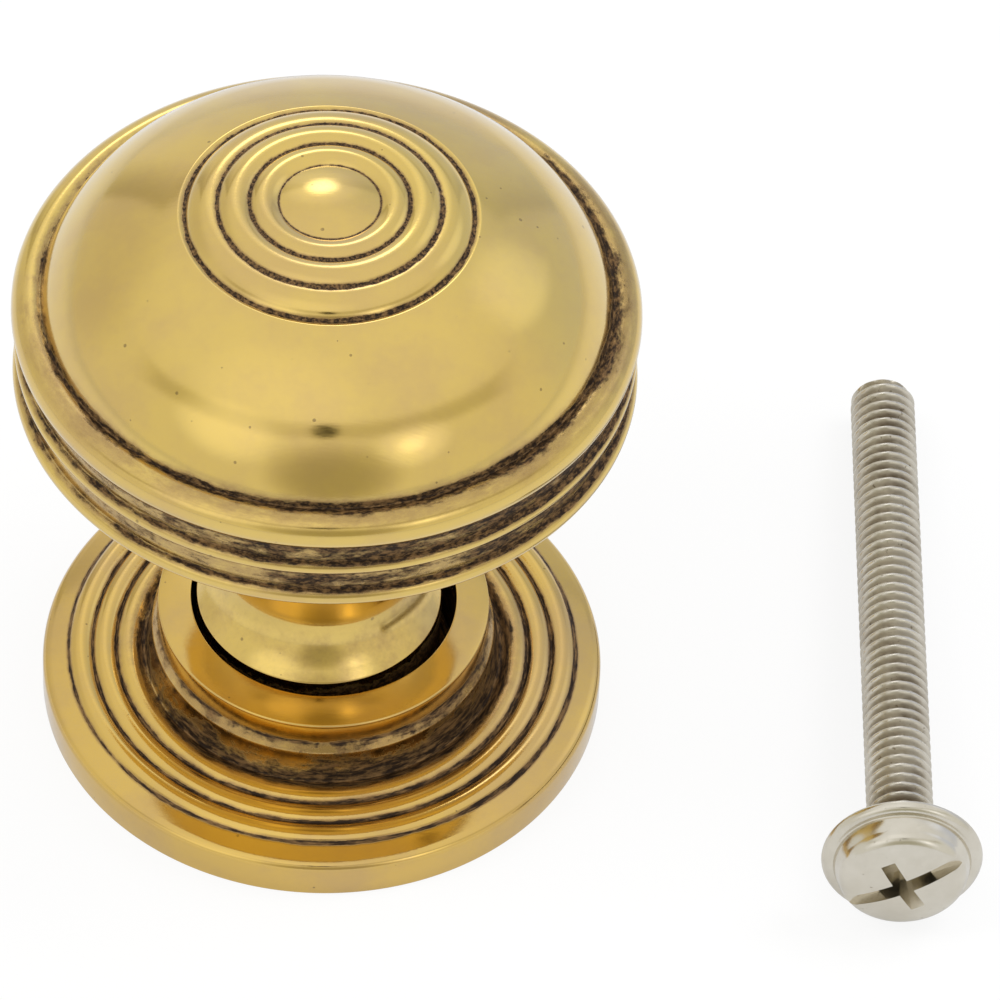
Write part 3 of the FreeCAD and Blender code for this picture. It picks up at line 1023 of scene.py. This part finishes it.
def patch(tree, way, azimuth, elevation, reach, edge, low, high):
    """low far from a direction, high within reach degrees of it, with a soft edge in degrees."""
    middle = toward(azimuth, elevation)
    near = add(tree, "ShaderNodeVectorMath", {"operation": "DOT_PRODUCT"}, s0=way, s1=middle).outputs["Value"]
    outer, inner = math.cos(math.radians(reach + edge)), math.cos(math.radians(max(reach - edge, 0)))
    return add(tree, "ShaderNodeMapRange", SMOOTH, Value=near, s1=outer, s2=inner, s3=low, s4=high).outputs[0]


def slit(tree, way, pole, level, width, low):
    """low on a circle of the sky that lies at level along a pole direction, 1 away from it."""
    along = add(tree, "ShaderNodeVectorMath", {"operation": "DOT_PRODUCT"}, s0=way, s1=pole).outputs["Value"]
    off = combine(tree, "SUBTRACT", along, level)
    size = add(tree, "ShaderNodeMath", {"operation": "ABSOLUTE"}, s0=off).outputs[0]
    return add(
        tree, "ShaderNodeMapRange", SMOOTH, Value=size, s1=0.2 * width, s2=width, s3=low, s4=1.0).outputs[0]


print("half way up on the right is", [round(value, 2) for value in toward(90, 45)])

# %% Back wall
BACK_AWAY = 1.43
CEILING_AWAY = 1.01
CORNER_SOFT = 0.01
SHADE_REACH = 0.22
SHADE_LEFT = 0.66
SHADE_RIGHT = 0.8


def back_wall(tree, way):
    """1 in most directions, and less on the tent's back wall, least in its corners.

    The tent is a box. From the knob its back stands 1.43 half widths away and its ceiling 1.01,
    so in a direction (x, y, z) the back is met first where y / 1.43 is more than both |x| and
    z / 1.01. How much more is the way in from its edges, over which the corner's shade fades.
    """
    x, y, z = add(tree, "ShaderNodeSeparateXYZ", Vector=way).outputs
    side = add(tree, "ShaderNodeMath", {"operation": "ABSOLUTE"}, s0=x).outputs[0]
    nearest = combine(tree, "MAXIMUM", side, combine(tree, "DIVIDE", z, CEILING_AWAY))
    inwards = combine(tree, "SUBTRACT", combine(tree, "DIVIDE", y, BACK_AWAY), nearest)
    share = add(tree, "ShaderNodeMapRange", SMOOTH, Value=inwards, s1=-CORNER_SOFT, s2=CORNER_SOFT).outputs[0]
    corner = add(
        tree, "ShaderNodeMapRange", Value=x, s1=-0.4, s2=0.4, s3=SHADE_LEFT, s4=SHADE_RIGHT).outputs[0]
    shade = add(
        tree, "ShaderNodeMapRange", Value=inwards, s1=0.0, s2=SHADE_REACH, s3=corner, s4=1.0).outputs[0]
    return add(tree, "ShaderNodeMix", MIX_NUMBERS, s0=share, s2=1.0, s3=shade).outputs[0]


print(
    "back wall's upper corners at azimuth", round(180 - math.degrees(math.atan2(1, BACK_AWAY))),
    "either side")

# %% Light tent
# Each patch is its azimuth, elevation, reach and edge in degrees, its level far away and its
# level within. The shades multiply each other, and the glows are added to them.
SHADES = {
    "ceiling": (0, 86, 30, 34, 0.82, 0.92),
    "front": (4, 14, 6, 22, 1.0, 0.58),
    "left_wall": (-126, 14, 18, 16, 1.0, 0.87),
    "lens": (0.5, 46.5, 4.1, 1.8, 1.0, 0.03)}
GLOWS = {
    "left_glow": (-40, 33, 7, 15, 0.0, 0.3),
    "right_glow": (36, 29, 2, 14, 0.0, 0.35),
    "right_core": (35.4, 29.4, 1.5, 5.5, 0.0, 0.45),
    "right_corner": (124, 37, 2, 15, 0.0, 0.26),
    "back_light": (-176, 36, 2.5, 6, 0.0, 1.9),
    "back_halo": (-176, 36, 3, 16, 0.0, 0.25),
    "front_glow": (-28, 60, 8, 22, 0.0, 0.12)}
BESIDE_LENS = (0, 44, 36, 36, 1.0, 0.0)
COOL_RIGHT = (142, 2, 38, 26, 0.0, 1.0)
SLIT_LEVEL = 0.43
SLIT_WIDTH = 0.13
SLIT_DIM = 0.76
WARM_CLOTH = "#FFFADA"
COOL_CLOTH = "#E8EEFF"


def tent_brightness(tree, way):
    """The product of the shades, the back wall and the slit, plus the sum of the glows."""
    shades = [patch(tree, way, *look) for look in SHADES.values()]
    glows = [patch(tree, way, *look) for look in GLOWS.values()]
    opening = slit(tree, way, toward(180, 69), SLIT_LEVEL, SLIT_WIDTH, SLIT_DIM)
    opening = combine(tree, "MAXIMUM", opening, patch(tree, way, *BESIDE_LENS))
    shaded = combine(tree, "MULTIPLY", *shades, back_wall(tree, way), opening)
    return combine(tree, "ADD", shaded, *glows)


def tent_colour(tree, way, brightness):
    """Warm where the cloth is dim, white where it is bright, and cool low on the right."""
    clear = add(tree, "ShaderNodeMapRange", Value=brightness, s1=0.4, s2=0.9).outputs[0]
    warm = add(tree, "ShaderNodeMix", MIX_COLOURS, s0=clear, s6=linear(WARM_CLOTH), s7=linear("#FFFFFF"))
    cool = patch(tree, way, *COOL_RIGHT)
    return add(
        tree, "ShaderNodeMix", MIX_COLOURS, s0=cool, s6=warm.outputs[2], s7=linear(COOL_CLOTH)).outputs[2]


def light_tent():
    """A world that the camera sees as plain white and everything else as the tent."""
    world = bpy.data.worlds.new("light_tent")
    world.use_nodes = True
    tree = world.node_tree
    tree.nodes.clear()
    bpy.context.scene.world = world
    way = add(tree, "ShaderNodeTexCoord").outputs["Generated"]
    brightness = tent_brightness(tree, way)
    tone = tent_colour(tree, way, brightness)
    camera_ray = add(tree, "ShaderNodeLightPath").outputs["Is Camera Ray"]
    seen = add(tree, "ShaderNodeMix", MIX_NUMBERS, s0=camera_ray, s2=brightness, s3=1.0).outputs[0]
    plain = add(tree, "ShaderNodeMix", MIX_COLOURS, s0=camera_ray, s6=tone, s7=linear("#FFFFFF")).outputs[2]
    background = add(tree, "ShaderNodeBackground", Color=plain, Strength=seen)
    add(tree, "ShaderNodeOutputWorld", Surface=background.outputs[0])
    return world


print("world:", light_tent().name, "of", len(SHADES), "shades and", len(GLOWS), "glows")

# %% [markdown]
# Two soft lamps stand outside the tent, left and right of the front. They give the table its
# faint shadow. The metal doesn't mirror them, because the tent's own glows already stand for
# them there.

# %% Lamps
LAMP_TARGET = (10, 0, 10)
LAMP_SIZE = 200
LAMP_WATTS = 0.5


def add_lamp(name, place):
    """A round soft lamp at place that looks at the target, with its right side level."""
    lamp = bpy.data.objects.new(name, bpy.data.lights.new(name, "AREA"))
    bpy.context.scene.collection.objects.link(lamp)
    lamp.data.shape = "DISK"
    lamp.data.size = LAMP_SIZE * MM
    lamp.data.energy = LAMP_WATTS
    forward = np.array(LAMP_TARGET, float) - np.array(place, float)
    forward /= np.linalg.norm(forward)
    right = np.cross(forward, (0, 0, 1))
    right /= np.linalg.norm(right)
    stand(lamp, place, right, np.cross(right, forward), forward)
    lamp.visible_glossy = False
    return lamp


lamps = [add_lamp("lamp_left", (-260, -60, 360)), add_lamp("lamp_right", (270, 60, 360))]
bpy.context.scene.view_settings.view_transform = "Standard"
print("lamps:", [lamp.name for lamp in lamps])
